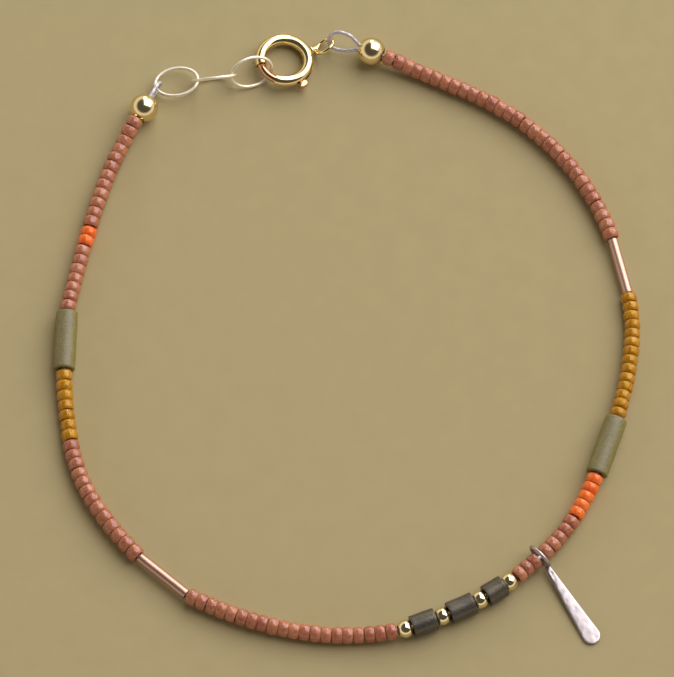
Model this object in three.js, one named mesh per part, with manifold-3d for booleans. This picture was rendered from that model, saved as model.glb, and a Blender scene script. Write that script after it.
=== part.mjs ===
// A seed bead bracelet lying closed on a flat surface, in millimetres, +Z up.
// Coated stringing wire carries glass seed beads, tube beads, small gold balls and one flat
// drop. A crimp inside a round cover holds the wire's loop at each end. Three oval links and a
// spring ring close the round.

import * as THREE from 'three';
import { mergeVertices } from 'three/addons/utils/BufferGeometryUtils.js';
import Module from 'manifold-3d';

const wasm = await Module();
wasm.setup();

// ---- driving dimensions ----------------------------------------------------------------

const SEED = { radius: 0.825, waist: 0.61, bore: 0.42, crownStart: 0.25, crownEnd: 0.75 };
const BUGLE = { radius: 1.1, bore: 0.45, bevel: 0.12 };
const DARK = { radius: 1.1, bore: 0.72, bevel: 0.1 };
const SLIM = { radius: 0.5, bore: 0.36, bevel: 0.05 };
const BALL = { radius: 0.88, bore: 0.45 };
const ballShift = { gold_bead_1: 0.065, gold_bead_4: -0.065 };   // along the strand
const COVER = { radius: 1.42, wall: 0.3, hole: 0.7 };
const CRIMP = { radius: 0.63, bore: 0.49, length: 1.6, bevel: 0.03 };
const WIRE = { radius: 0.19 };
const LINK = { long: 2.17, wide: 1.55, wire: 0.17 };

const RING = {
  radius: 2.42,         // centreline of the hollow ring
  tube: 0.58,           // outer radius of its tube
  bore: 0.46,           // the bolt runs in this bore
  from: 249, to: 556,   // what the tube covers, in degrees round the ring
  slotFrom: 297, slotTo: 367, slotHalfHeight: 0.2, slotReach: 3.2,
  neckAngle: 25, neckRadius: 0.28, neckReach: 3.65, collarRadius: 0.42, collarReach: 3.22,
  eye: 0.986, eyeWire: 0.2, eyeTurn: -4.2, eyeTilt: 40.7, eyeRoll: -17.9,
};
const BOLT = {
  radius: 0.4,
  from: 192, to: 312,   // closed position, in degrees round the ring
  tabAngle: 304.8, tabNeck: 0.15, tabWidth: 0.95, tabFrom: 3.05, tabTo: 3.64, tabHeight: 0.6,
};
const DROP = {
  ring: 1.22, ringWire: 0.18, ringLean: 4, ringHeading: -46,
  ringAt: [19.56, -23.23, 1.42],
  paddleHeading: -58.9,
  paddleFrom: 1.0,      // from the ring's centre, along the ring's heading
  paddleTopZ: 0.6, paddleTipZ: 0.15,
  paddleLength: 8.9, neckWidth: 0.5, endWidth: 1.76, thickness: 0.3,
};

const endGap = 0.065;        // left free at each end of a bead run or a tube
const seedHeight = 0.825;    // of the wire above the surface, where seed beads rest on it
const tubeHeight = 1.1;      // where the thick tubes rest on it
const coverHeight = 1.42;    // at the crimp covers
const rampLength = 4;        // over which the wire comes down from a higher piece
const coverHeading = { left: 62.5, right: 163 };   // which way each cover's holes face

// How finely round shapes are divided: sides round a piece, and steps along a bent one.
const SIDES = { seed: 8, tube: 10, dark: 12, ball: 12, wire: 6, ring: 10, eye: 8, bar: 8 };
const STEPS = { strand: 96, loopLeft: 24, loopRight: 30, ring: 28, bolt: 11, link: 22, eye: 16 };
const boreEvery = 5;         // the bore has one step for this many seed beads

// The strand from the left crimp to the right one. kink and bend are in degrees to the left:
// kink is the corner before the piece, bend is what it turns along its length. Rows with the
// same node are one solid.
const strandStart = { x: -19.4, y: 24.44, heading: -121 };
const STRAND = table(['node', 'kind', 'beads', 'length', 'kink', 'bend'], [
  ['lead_left', 'lead', 0, 1.3, 0, 0],
  ['pink_beads_1', 'pink', 6, 6.325, 0, 11],
  ['pink_beads_1', 'pink', 6, 6.325, 0, 6.5],
  ['orange_beads_1', 'orange', 2, 2.1, 0, -1],
  ['pink_beads_2', 'pink', 7, 7.3, 0, 5],
  ['olive_bugle_left', 'bugle', 0, 6.2, 8, 0],
  ['mustard_beads_1', 'mustard', 7, 7.4, 4, 7.5],
  ['pink_beads_3', 'pink', 7, 7.0, 0, 22.5],
  ['pink_beads_3', 'pink', 6, 7.0, 0, 13],
  ['slim_tube_left', 'slim', 0, 6.05, 5, 0],
  ['pink_beads_4', 'pink', 10, 10.45, 11.5, 16.5],
  ['pink_beads_4', 'pink', 10, 10.45, 0, 20.9],
  ['gold_bead_1', 'ball', 0, 1.46, 0, 10.7],
  ['dark_tube_1', 'dark', 0, 2.4, 0, 0],
  ['gold_bead_2', 'ball', 0, 1.42, 0, 4.4],
  ['dark_tube_2', 'dark', 0, 2.58, 0, 0],
  ['gold_bead_3', 'ball', 0, 1.4, 0, 8.3],
  ['dark_tube_3', 'dark', 0, 1.98, 0, 0],
  ['gold_bead_4', 'ball', 0, 1.46, 0, 7.0],
  ['pink_beads_5', 'pink', 3, 2.9, 0, 3.1],
  ['drop_gap', 'gap', 0, 0.6, 0, 0],
  ['pink_beads_6', 'pink', 5, 4.95, 0, 15.1],
  ['orange_beads_2', 'orange', 5, 4.95, 0, 9],
  ['olive_bugle_right', 'bugle', 0, 6.2, 3, 0],
  ['mustard_beads_2', 'mustard', 7, 6.8, 3, 8],
  ['mustard_beads_2', 'mustard', 7, 6.7, 0, 19],
  ['slim_tube_right', 'slim', 0, 6.05, 3.5, 0],
  ['pink_beads_7', 'pink', 10, 10.487, 3.5, 23],
  ['pink_beads_7', 'pink', 10, 10.487, 0, 23],
  ['pink_beads_7', 'pink', 10, 10.487, 0, 5.5],
  ['lead_right', 'lead', 0, 1.34, 0, 0],
]);

// The wire's two end loops, in the plane of each loop: along is from the cover's centre towards
// the clasp, across is to the left of that.
const LOOP_LEFT = table(['along', 'across'], [
  [-0.3, -0.2], [0.25, -0.2], [0.85, -0.22], [1.7, -0.24], [2.6, -0.12], [3.2, 0.2],
  [3.44, 0.7], [3.12, 1.12], [2.55, 1.18], [1.9, 0.8], [1.35, 0.36], [0.85, 0.22],
  [0.25, 0.2], [-0.3, 0.2],
]);
const LOOP_RIGHT = table(['along', 'across'], [
  [-0.3, -0.2], [0.25, -0.2], [0.85, -0.22], [1.25, -0.34], [1.69, -0.61], [2.37, -1.02],
  [3.22, -1.1], [3.95, -0.86], [4.35, -0.28], [4.31, 0.52], [3.77, 1.0], [2.54, 0.88],
  [1.55, 0.36], [0.85, 0.2], [0.25, 0.2], [-0.3, 0.2],
]);

// How the clasp's pieces lie: turned about X by roll, then Y by pitch, then Z by yaw, in degrees.
const POSES = table(['node', 'x', 'y', 'z', 'yaw', 'pitch', 'roll'], [
  ['loop_left', -19.4, 24.44, coverHeight, 63, 0, -90],
  ['loop_right', 3.38, 30.69, coverHeight, 161.8, -6.06, -58.25],
  ['chain_link_1', -16.2, 27.56, 0.95, 9, -4, -3],
  ['chain_link_2', -12.37, 27.69, 1.58, 5, -6, -64],
  ['chain_link_3', -8.6, 28.44, 1.43, 19.7, 9.4, 51.9],
  ['spring_ring', -5.32, 30.0, 0.9, 0, 5, -4.5],
]);

const PAINT = {
  pink: [0xaa735c, 0.3, 0],
  orange: [0xe2683a, 0.3, 0],
  mustard: [0xb27c30, 0.3, 0],
  bugle: [0x8e8561, 0.5, 0],
  dark: [0x5c5848, 0.6, 0.3],
  slim: [0xc99a80, 0.2, 1],
  ball: [0xd9b46c, 0.1, 1],
  drop: [0xdccbc4, 0.3, 1],
  gold: [0xdcb870, 0.1, 1],
  bolt: [0xc8916a, 0.15, 1],
  crimp: [0xb9a27a, 0.3, 1],
  wire: [0xaaa0aa, 0.4, 0.2],
};

// ---- small helpers ---------------------------------------------------------------------

function table(columns, rows) {
  return rows.map((row) => Object.fromEntries(columns.map((name, i) => [name, row[i]])));
}

function radians(degrees) {
  return THREE.MathUtils.degToRad(degrees);
}

function addMesh(parent, name, paint, geometry) {
  const [color, roughness, metalness] = PAINT[paint];
  const material = new THREE.MeshStandardMaterial({ color, roughness, metalness });
  const mesh = new THREE.Mesh(geometry, material);
  mesh.name = name;
  parent.add(mesh);
  return mesh;
}

function pose(object, name) {
  const row = POSES.find((entry) => entry.node === name);
  object.position.set(row.x, row.y, row.z);
  object.rotation.set(radians(row.roll), radians(row.pitch), radians(row.yaw), 'ZYX');
  return object;
}

function solid(geometry) {
  const bare = geometry.clone();
  bare.deleteAttribute('normal');
  bare.deleteAttribute('uv');
  const merged = mergeVertices(bare, 1e-5);
  return new wasm.Manifold(new wasm.Mesh({
    numProp: 3,
    vertProperties: new Float32Array(merged.attributes.position.array),
    triVerts: new Uint32Array(merged.index.array),
  }));
}

function toGeometry(manifold) {
  const mesh = manifold.getMesh();
  const geometry = new THREE.BufferGeometry();
  geometry.setAttribute('position', new THREE.BufferAttribute(mesh.vertProperties, 3));
  geometry.setIndex(new THREE.BufferAttribute(mesh.triVerts, 1));
  return geometry;
}

function polygon(radius, sides) {
  const corners = [];
  for (let i = 0; i < sides; i += 1) {
    const angle = (2 * Math.PI * (i + 0.5)) / sides;
    corners.push(new THREE.Vector2(radius * Math.cos(angle), radius * Math.sin(angle)));
  }
  return corners;
}

function sweep(curve, radius, sides, steps) {
  const section = new THREE.Shape(polygon(radius, sides));
  return new THREE.ExtrudeGeometry(section, { extrudePath: curve, steps });
}

// A closed profile of [axial, radius] points turned about the X axis, so that its flats, not
// its corners, lie at the radius given.
function turned(profile, sides) {
  const stretch = 1 / Math.cos(Math.PI / sides);
  const points = profile.map(([axial, radius]) => new THREE.Vector2(radius * stretch, axial));
  points.push(points[0].clone());
  const geometry = new THREE.LatheGeometry(points, sides, Math.PI / sides);
  geometry.rotateZ(-Math.PI / 2);
  return geometry;
}

function tube(length, { radius, bore, bevel }, sides) {
  return turned([
    [0, bore], [0, radius - bevel], [bevel, radius],
    [length - bevel, radius], [length, radius - bevel], [length, bore],
  ], sides).translate(-length / 2, 0, 0);
}

// ---- the thread ------------------------------------------------------------------------

class Thread extends THREE.Curve {
  constructor() {
    super();
    this.arcLengthDivisions = 400;
    this.sections = [];
    let { x, y } = strandStart;
    let heading = radians(strandStart.heading);
    let start = 0;
    for (const row of STRAND) {
      heading += radians(row.kink);
      const bend = radians(row.bend);
      const section = { ...row, start, end: start + row.length, x, y, heading, turn: bend };
      this.sections.push(section);
      [x, y] = this.along(section, row.length);
      heading += bend;
      start += row.length;
    }
    this.total = start;
  }

  // The point at a distance into a section: a circular arc, or a straight line.
  along(section, distance) {
    const half = (section.turn * distance) / section.length / 2;
    const chord = distance * (Math.abs(half) < 1e-9 ? 1 : Math.sin(half) / half);
    const direction = section.heading + half;
    return [section.x + chord * Math.cos(direction), section.y + chord * Math.sin(direction)];
  }

  height(distance) {
    let height = seedHeight;
    for (const section of this.sections) {
      const wanted = { lead: coverHeight, bugle: tubeHeight, dark: tubeHeight,
        ball: tubeHeight }[section.kind];
      if (wanted === undefined) continue;
      const away = Math.max(0, distance - section.end, section.start - distance);
      const share = THREE.MathUtils.smoothstep(rampLength - away, 0, rampLength);
      height = Math.max(height, seedHeight + (wanted - seedHeight) * share);
    }
    return height;
  }

  at(distance) {
    const last = this.sections[this.sections.length - 1];
    const section = this.sections.find((entry) => distance < entry.end) ?? last;
    const [x, y] = this.along(section, distance - section.start);
    return new THREE.Vector3(x, y, this.height(distance));
  }

  headingAt(distance) {
    const last = this.sections[this.sections.length - 1];
    const section = this.sections.find((entry) => distance < entry.end) ?? last;
    return section.heading + (section.turn * (distance - section.start)) / section.length;
  }

  getPoint(t, target = new THREE.Vector3()) {
    return target.copy(this.at(t * this.total));
  }
}

const thread = new Thread();

// ---- pieces on the strand ----------------------------------------------------------------

// Seed beads joined end to end: each has a narrow waist at its ends and a crown between.
function seedProfile(counts, lengths) {
  const outer = [];
  const boreStations = [];
  let start = 0;
  counts.forEach((beads, part) => {
    const first = part === 0 ? endGap : 0;
    const trimmed = part === counts.length - 1 ? endGap : 0;
    const pitch = (lengths[part] - first - trimmed) / beads;
    for (let i = 0; i < beads; i += 1) {
      const at = start + first + i * pitch;
      outer.push([at, SEED.waist]);
      outer.push([at + SEED.crownStart * pitch, SEED.radius]);
      outer.push([at + SEED.crownEnd * pitch, SEED.radius]);
      if (i % boreEvery === 0) boreStations.push([at, SEED.bore]);
    }
    start += lengths[part];
  });
  outer.push([start - endGap, SEED.waist], [start - endGap, SEED.bore]);
  return [...outer, ...boreStations.reverse()];
}

function seedRun(rows) {
  const profile = seedProfile(rows.map((row) => row.beads), rows.map((row) => row.length));
  const geometry = turned(profile, SIDES.seed);
  const position = geometry.attributes.position;
  const up = new THREE.Vector3(0, 0, 1);
  for (let i = 0; i < position.count; i += 1) {
    const distance = rows[0].start + position.getX(i);
    const heading = thread.headingAt(distance);
    const left = new THREE.Vector3(-Math.sin(heading), Math.cos(heading), 0);
    const point = thread.at(distance);
    point.addScaledVector(left, position.getY(i)).addScaledVector(up, position.getZ(i));
    position.setXYZ(i, point.x, point.y, point.z);
  }
  return geometry;
}

function ball() {
  const reach = Math.asin(BALL.bore / BALL.radius);
  const rings = 7;
  const profile = [];
  for (let i = 0; i <= rings; i += 1) {
    const angle = reach + ((Math.PI - 2 * reach) * i) / rings;
    profile.push([-BALL.radius * Math.cos(angle), BALL.radius * Math.sin(angle)]);
  }
  const inscribed = Math.cos(Math.PI / SIDES.ball);
  return turned(profile, SIDES.ball).scale(1, inscribed, inscribed);
}

function placeOnThread(mesh, section) {
  const middle = section.start + section.length / 2 + (ballShift[section.node] ?? 0);
  mesh.position.copy(thread.at(middle));
  mesh.rotation.z = thread.headingAt(middle);
}

function addStrand(parent) {
  const nodes = [...new Set(thread.sections.map((section) => section.node))];
  for (const node of nodes) {
    const rows = thread.sections.filter((section) => section.node === node);
    const { kind, length } = rows[0];
    if (rows[0].beads > 0) addMesh(parent, node, kind, seedRun(rows));
    if (kind === 'ball') placeOnThread(addMesh(parent, node, kind, ball()), rows[0]);
    if (kind === 'dark') {
      placeOnThread(addMesh(parent, node, kind, tube(length, DARK, SIDES.dark)), rows[0]);
    }
    if (kind === 'bugle' || kind === 'slim') {
      const size = kind === 'bugle' ? BUGLE : SLIM;
      const body = tube(length - 2 * endGap, size, SIDES.tube);
      placeOnThread(addMesh(parent, node, kind, body), rows[0]);
    }
  }
}

// ---- wire, crimps and covers ---------------------------------------------------------------

function loopCurve(name, rows) {
  const frame = pose(new THREE.Object3D(), name);
  frame.updateMatrix();
  const points = rows.map((row) => new THREE.Vector3(row.along, row.across, 0));
  return new THREE.CatmullRomCurve3(points.map((point) => point.applyMatrix4(frame.matrix)));
}

function stringingWire() {
  const strand = sweep(thread, WIRE.radius, SIDES.wire, STEPS.strand);
  const left = sweep(loopCurve('loop_left', LOOP_LEFT), WIRE.radius, SIDES.wire, STEPS.loopLeft);
  const right = sweep(loopCurve('loop_right', LOOP_RIGHT), WIRE.radius, SIDES.wire, STEPS.loopRight);
  return toGeometry(solid(strand).add(solid(left)).add(solid(right)));
}

function coverShell() {
  const inner = COVER.radius - COVER.wall;
  const rings = 6;
  const profile = [];
  const arc = (radius, backwards) => {
    const reach = Math.asin(COVER.hole / radius);
    for (let i = 0; i <= rings; i += 1) {
      const share = backwards ? 1 - i / rings : i / rings;
      const angle = reach + (Math.PI - 2 * reach) * share;
      profile.push([-radius * Math.cos(angle), radius * Math.sin(angle)]);
    }
  };
  arc(COVER.radius, false);
  arc(inner, true);
  return turned(profile, SIDES.ball);
}

function addEnd(parent, side, position) {
  const cover = addMesh(parent, `crimp_cover_${side}`, 'gold', coverShell());
  const crimp = addMesh(parent, `crimp_${side}`, 'crimp', tube(CRIMP.length, CRIMP, SIDES.tube));
  for (const mesh of [cover, crimp]) {
    mesh.position.copy(position);
    mesh.rotation.z = radians(coverHeading[side]);
  }
}

// ---- clasp -----------------------------------------------------------------------------------

// A ring of round wire whose centreline is an ellipse in the XY plane.
function wireRing(long, wide, wire, sides, steps) {
  const geometry = new THREE.TorusGeometry(long, wire, sides, steps);
  const position = geometry.attributes.position;
  for (let i = 0; i < position.count; i += 1) {
    const angle = Math.atan2(position.getY(i), position.getX(i));
    const offset = Math.hypot(position.getX(i), position.getY(i)) - long;
    const outward = new THREE.Vector2(wide * Math.cos(angle), long * Math.sin(angle)).normalize();
    position.setX(i, long * Math.cos(angle) + offset * outward.x);
    position.setY(i, wide * Math.sin(angle) + offset * outward.y);
  }
  return geometry;
}

class RingArc extends THREE.Curve {
  constructor(from, to) {
    super();
    this.from = radians(from);
    this.to = radians(to);
  }

  getPoint(t, target = new THREE.Vector3()) {
    const angle = THREE.MathUtils.lerp(this.from, this.to, t);
    return target.set(RING.radius * Math.cos(angle), RING.radius * Math.sin(angle), 0);
  }
}

// A block as high as the slot that follows the ring between two radii and two angles.
function ringBlock(innerRadius, outerRadius, from, to) {
  const shape = new THREE.Shape();
  shape.absarc(0, 0, outerRadius, radians(from), radians(to), false);
  shape.absarc(0, 0, innerRadius, radians(to), radians(from), true);
  const depth = 2 * RING.slotHalfHeight;
  const block = new THREE.ExtrudeGeometry(shape, { depth, bevelEnabled: false, curveSegments: 10 });
  return block.translate(0, 0, -RING.slotHalfHeight);
}

// A round bar along X between two distances from the ring's centre, turned to an angle.
function radialBar(radius, from, to, angle, sides) {
  const bar = new THREE.CylinderGeometry(radius, radius, to - from, sides);
  return bar.rotateZ(Math.PI / 2).translate((from + to) / 2, 0, 0).rotateZ(radians(angle));
}

function springRing() {
  const section = new THREE.Shape(polygon(RING.tube, SIDES.ring));
  section.holes.push(new THREE.Path(polygon(RING.bore, SIDES.ring)));
  const arc = new RingArc(RING.from, RING.to);
  const body = new THREE.ExtrudeGeometry(section, { extrudePath: arc, steps: STEPS.ring });
  const slot = ringBlock(RING.radius, RING.slotReach, RING.slotFrom, RING.slotTo);
  const neckStart = RING.radius + (RING.tube + RING.bore) / 2;
  const { neckAngle, neckRadius, neckReach, collarRadius, collarReach } = RING;
  const collar = radialBar(collarRadius, neckStart, collarReach, neckAngle, SIDES.ring);
  const neck = radialBar(neckRadius, neckStart, neckReach, neckAngle, SIDES.ring);
  const eye = wireRing(RING.eye, RING.eye, RING.eyeWire, SIDES.eye, STEPS.eye);
  eye.translate(RING.eye, 0, 0);
  eye.rotateX(radians(RING.eyeRoll));
  eye.rotateY(-radians(RING.eyeTilt));
  eye.rotateZ(radians(RING.eyeTurn - neckAngle));
  eye.translate(neckReach, 0, 0);
  eye.rotateZ(radians(neckAngle));
  const slotted = solid(body).subtract(solid(slot));
  return toGeometry(slotted.add(solid(collar)).add(solid(neck)).add(solid(eye)));
}

function springRingBolt() {
  const rod = sweep(new RingArc(BOLT.from, BOLT.to), BOLT.radius, SIDES.ring, STEPS.bolt);
  const tabMiddle = (BOLT.tabFrom + BOLT.tabTo) / 2;
  const neck = radialBar(BOLT.tabNeck, RING.radius, tabMiddle, BOLT.tabAngle, SIDES.bar);
  const tab = new THREE.BoxGeometry(BOLT.tabTo - BOLT.tabFrom, BOLT.tabWidth, BOLT.tabHeight);
  tab.translate(tabMiddle, 0, 0);
  tab.rotateZ(radians(BOLT.tabAngle));
  return toGeometry(solid(rod).add(solid(neck)).add(solid(tab)));
}

function addClasp(parent) {
  for (const node of ['chain_link_1', 'chain_link_2', 'chain_link_3']) {
    const link = wireRing(LINK.long, LINK.wide, LINK.wire, SIDES.wire, STEPS.link);
    pose(addMesh(parent, node, 'gold', link), node);
  }
  const clasp = pose(new THREE.Group(), 'spring_ring');
  addMesh(clasp, 'spring_ring', 'gold', springRing());
  addMesh(clasp, 'spring_ring_bolt', 'bolt', springRingBolt());
  parent.add(clasp);
}

// ---- drop ------------------------------------------------------------------------------------

// A flat paddle along X from its narrow neck, soldered to the ring that hangs on the wire.
function paddleDrop() {
  const endRadius = DROP.endWidth / 2;
  const outline = new THREE.Shape();
  outline.moveTo(0, -DROP.neckWidth / 2);
  outline.lineTo(DROP.paddleLength - endRadius, -endRadius);
  outline.absarc(DROP.paddleLength - endRadius, 0, endRadius, -Math.PI / 2, Math.PI / 2, false);
  outline.lineTo(0, DROP.neckWidth / 2);
  const flat = { depth: DROP.thickness, bevelEnabled: false, curveSegments: 10 };
  const paddle = new THREE.ExtrudeGeometry(outline, flat);
  const fall = Math.asin((DROP.paddleTopZ - DROP.paddleTipZ) / DROP.paddleLength);
  paddle.translate(0, 0, -DROP.thickness / 2).rotateY(fall);
  paddle.rotateZ(radians(DROP.paddleHeading - DROP.ringHeading));
  paddle.translate(DROP.paddleFrom, 0, DROP.paddleTopZ - DROP.ringAt[2]);
  const ring = new THREE.TorusGeometry(DROP.ring, DROP.ringWire, 8, 20);
  ring.rotateX(Math.PI / 2 + radians(DROP.ringLean));
  return toGeometry(solid(paddle).add(solid(ring)));
}

function addDrop(parent) {
  const drop = addMesh(parent, 'paddle_drop', 'drop', paddleDrop());
  drop.position.set(...DROP.ringAt);
  drop.rotation.z = radians(DROP.ringHeading);
}

// ---- the whole bracelet ------------------------------------------------------------------------

const bracelet = new THREE.Group();
const laid = new THREE.Group();
bracelet.add(laid);
addMesh(laid, 'stringing_wire', 'wire', stringingWire());
addStrand(laid);
addEnd(laid, 'left', thread.at(0));
addEnd(laid, 'right', thread.at(thread.total));
addClasp(laid);
addDrop(laid);

// The origin is the middle of the bracelet's underside.
const box = new THREE.Box3().setFromObject(bracelet, true);
laid.position.set(-(box.min.x + box.max.x) / 2, -(box.min.y + box.max.y) / 2, -box.min.z);

export default bracelet;
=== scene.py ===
"""A seed bead bracelet lying closed on a pale floor.

The tables are in millimetres and degrees, as the bracelet is strung; Blender's meshes are in
metres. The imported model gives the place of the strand's first crimp, and everything is laid
from there.
"""
import random
from math import asin, atan2, cos, hypot, pi, radians, sin, sqrt

import bpy
import numpy as np
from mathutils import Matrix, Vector


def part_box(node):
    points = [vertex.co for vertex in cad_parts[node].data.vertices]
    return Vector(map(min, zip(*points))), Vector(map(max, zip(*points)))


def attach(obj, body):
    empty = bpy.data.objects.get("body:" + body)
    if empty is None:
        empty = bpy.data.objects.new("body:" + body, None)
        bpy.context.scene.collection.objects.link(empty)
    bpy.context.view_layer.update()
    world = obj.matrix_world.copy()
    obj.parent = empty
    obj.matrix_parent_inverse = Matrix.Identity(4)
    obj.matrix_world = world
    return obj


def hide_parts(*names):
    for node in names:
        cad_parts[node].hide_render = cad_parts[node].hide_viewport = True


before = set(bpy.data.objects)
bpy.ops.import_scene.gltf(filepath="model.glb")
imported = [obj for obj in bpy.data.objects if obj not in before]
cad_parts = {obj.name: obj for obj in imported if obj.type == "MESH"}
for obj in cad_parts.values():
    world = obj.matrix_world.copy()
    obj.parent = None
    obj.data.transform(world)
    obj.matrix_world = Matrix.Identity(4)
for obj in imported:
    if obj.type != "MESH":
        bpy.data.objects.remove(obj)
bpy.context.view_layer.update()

MM = 0.001
CREASE = 40   # degrees: sharper edges stay crisp, and the rest are shaded smooth

# ---- sizes, in millimetres and degrees ----------------------------------------------------

SEED = dict(radius=0.825, bore=0.4, end_gap=0.065)
BUGLE = dict(radius=1.1, bore=0.48, lip=0.14)
DARK = dict(radius=1.1, bore=0.72, lip=0.05)
SLIM = dict(radius=0.5, bore=0.36, lip=0.05)
BALL = dict(radius=0.88, bore=0.42, lip=0.06)
TUBES = {"bugle": BUGLE, "dark": DARK, "slim": SLIM}
BALL_SHIFT = {"gold_bead_1": 0.065, "gold_bead_4": -0.065}   # along the thread, inwards
COVER = dict(radius=1.42, wall=0.24, hole=0.68, seam=7)
CRIMP = dict(radius=0.63, bore=0.49, length=1.6, lip=0.06)
WIRE = 0.19
LINK = dict(long=2.17, wide=1.55, wire=0.17)
RING = dict(radius=2.42, tube=0.58, bore=0.46, start=249, end=556, slot_start=297, slot_end=367,
            slot_half=0.2, slot_reach=3.2, neck_angle=25, neck=0.28, neck_reach=3.65, collar=0.42,
            collar_reach=3.22, eye=0.986, eye_wire=0.2, eye_turn=-4.2, eye_tilt=40.7,
            eye_roll=-17.9)
BOLT = dict(radius=0.4, start=192, end=312, rounding=2, stem=0.15, stem_reach=(3.0, 3.35),
            tab_angle=304.8, tab_width=0.95, tab_start=3.05, tab_end=3.64, tab_height=0.6)
TAB_LAYERS = [(-1.0, 0.72), (-0.93, 0.9), (-0.7, 1.0),   # share of the height, of the outline
              (0.7, 1.0), (0.93, 0.9), (1.0, 0.72)]
TAB_SQUARE = dict(outer=2.2, inner=4.0)                  # 2 is round, more is squarer
DROP = dict(ring=1.22, wire=0.18, lean=4, at=(19.56, -23.23, 1.42), ring_heading=-46,
            paddle_heading=-58.9, start=1.0, top=0.6, tip=0.15, length=8.9, neck=0.5, end=1.76,
            thickness=0.3, neck_thicker=1.15, thins_by=0.4, rim=0.45, rim_reach=0.35,
            side_power=0.62, face_power=0.45)
HAMMER = dict(marks=34, start=0.6, reach=(0.3, 0.5), depth=(0.004, 0.012), spread=1.6)
PITS = [(0.85, 0.02, 0.16, 0.06),     # two deeper marks by the neck, each with
        (1.35, -0.04, 0.13, 0.05)]    # how far along, how far across, reach and depth

# How unevenly the glass is made and strung: shares of a bead's size, how square its section
# is, then degrees and millimetres.
UNEVEN = dict(radius=(0.975, 1.02), length=(0.985, 1.015), oval=(0.975, 1.0),
              square=(1.9, 2.2), turn=1.8, tip=1.4, aside=0.014)
WOBBLE = dict(depth=0.012, per_mm=2.3, phase=6)   # waves in the thick tubes' sides
CLEAR = 0.002                                     # the least height of a bead off the surface

# How far a plating is worn back to pale metal, from 0 to 1.
PALER = {"slim_tube_left": 0.1, "slim_tube_right": 0.16, "cover": 0.15, "link": 0.95,
         "drop_ring": 1.0}

# How finely round shapes are divided: sides round a piece, and steps along one.
SIDES = dict(bead=28, tube=48, ball=48, wire=14, cover=56, crimp=32, link=20, ring=36, neck=28,
             eye=17, rod=28, stem=16, drop_ring=20, paddle=28)
STEPS = dict(bead=24, lip=4, tube=10, ball=26, cover=24, thread=420, loop=6, link=120, ring=150,
             slot=40, eye=71, rod=60, rod_end=4, tab=40, drop_ring=90, paddle=46, paddle_end=16)

# Heights of the thread above the surface, and the length over which it comes down.
SEED_HEIGHT, TUBE_HEIGHT, COVER_HEIGHT, RAMP = 0.825, 1.1, 1.42, 4.0
LIFTED = {"lead": COVER_HEIGHT, "bugle": TUBE_HEIGHT, "dark": TUBE_HEIGHT, "ball": TUBE_HEIGHT}

# The strand from the left crimp to the right one. kink is the corner before a section, bend
# is what it turns along its length. Sections with the same node are one piece.
STRAND_START = dict(x=-19.4, y=24.44, heading=-121)
STRAND_COLUMNS = ("node", "kind", "beads", "length", "kink", "bend")
STRAND = [
    ("lead_left", "lead", 0, 1.3, 0, 0),
    ("pink_beads_1", "pink", 6, 6.325, 0, 11),
    ("pink_beads_1", "pink", 6, 6.325, 0, 6.5),
    ("orange_beads_1", "orange", 2, 2.1, 0, -1),
    ("pink_beads_2", "pink", 7, 7.3, 0, 5),
    ("olive_bugle_left", "bugle", 0, 6.2, 8, 0),
    ("mustard_beads_1", "mustard", 7, 7.4, 4, 7.5),
    ("pink_beads_3", "pink", 7, 7.0, 0, 22.5),
    ("pink_beads_3", "pink", 6, 7.0, 0, 13),
    ("slim_tube_left", "slim", 0, 6.05, 5, 0),
    ("pink_beads_4", "pink", 10, 10.45, 11.5, 16.5),
    ("pink_beads_4", "pink", 10, 10.45, 0, 20.9),
    ("gold_bead_1", "ball", 0, 1.46, 0, 10.7),
    ("dark_tube_1", "dark", 0, 2.4, 0, 0),
    ("gold_bead_2", "ball", 0, 1.42, 0, 4.4),
    ("dark_tube_2", "dark", 0, 2.58, 0, 0),
    ("gold_bead_3", "ball", 0, 1.4, 0, 8.3),
    ("dark_tube_3", "dark", 0, 1.98, 0, 0),
    ("gold_bead_4", "ball", 0, 1.46, 0, 7.0),
    ("pink_beads_5", "pink", 3, 2.9, 0, 3.1),
    ("drop_gap", "gap", 0, 0.6, 0, 0),
    ("pink_beads_6", "pink", 5, 4.95, 0, 15.1),
    ("orange_beads_2", "orange", 5, 4.95, 0, 9),
    ("olive_bugle_right", "bugle", 0, 6.2, 3, 0),
    ("mustard_beads_2", "mustard", 7, 6.8, 3, 8),
    ("mustard_beads_2", "mustard", 7, 6.7, 0, 19),
    ("slim_tube_right", "slim", 0, 6.05, 3.5, 0),
    ("pink_beads_7", "pink", 10, 10.487, 3.5, 23),
    ("pink_beads_7", "pink", 10, 10.487, 0, 23),
    ("pink_beads_7", "pink", 10, 10.487, 0, 5.5),
    ("lead_right", "lead", 0, 1.34, 0, 0),
]

# The wire's end loops: along and across, in the plane of each.
LOOP_LEFT = [(-0.3, -0.2), (0.25, -0.2), (0.85, -0.22), (1.7, -0.24), (2.6, -0.12), (3.2, 0.2),
             (3.44, 0.7), (3.12, 1.12), (2.55, 1.18), (1.9, 0.8), (1.35, 0.36), (0.85, 0.22),
             (0.25, 0.2), (-0.3, 0.2)]
LOOP_RIGHT = [(-0.3, -0.2), (0.25, -0.2), (0.85, -0.22), (1.25, -0.34), (1.69, -0.61),
              (2.37, -1.02), (3.22, -1.1), (3.95, -0.86), (4.35, -0.28), (4.31, 0.52),
              (3.77, 1.0), (2.54, 0.88), (1.55, 0.36), (0.85, 0.2), (0.25, 0.2), (-0.3, 0.2)]

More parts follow.
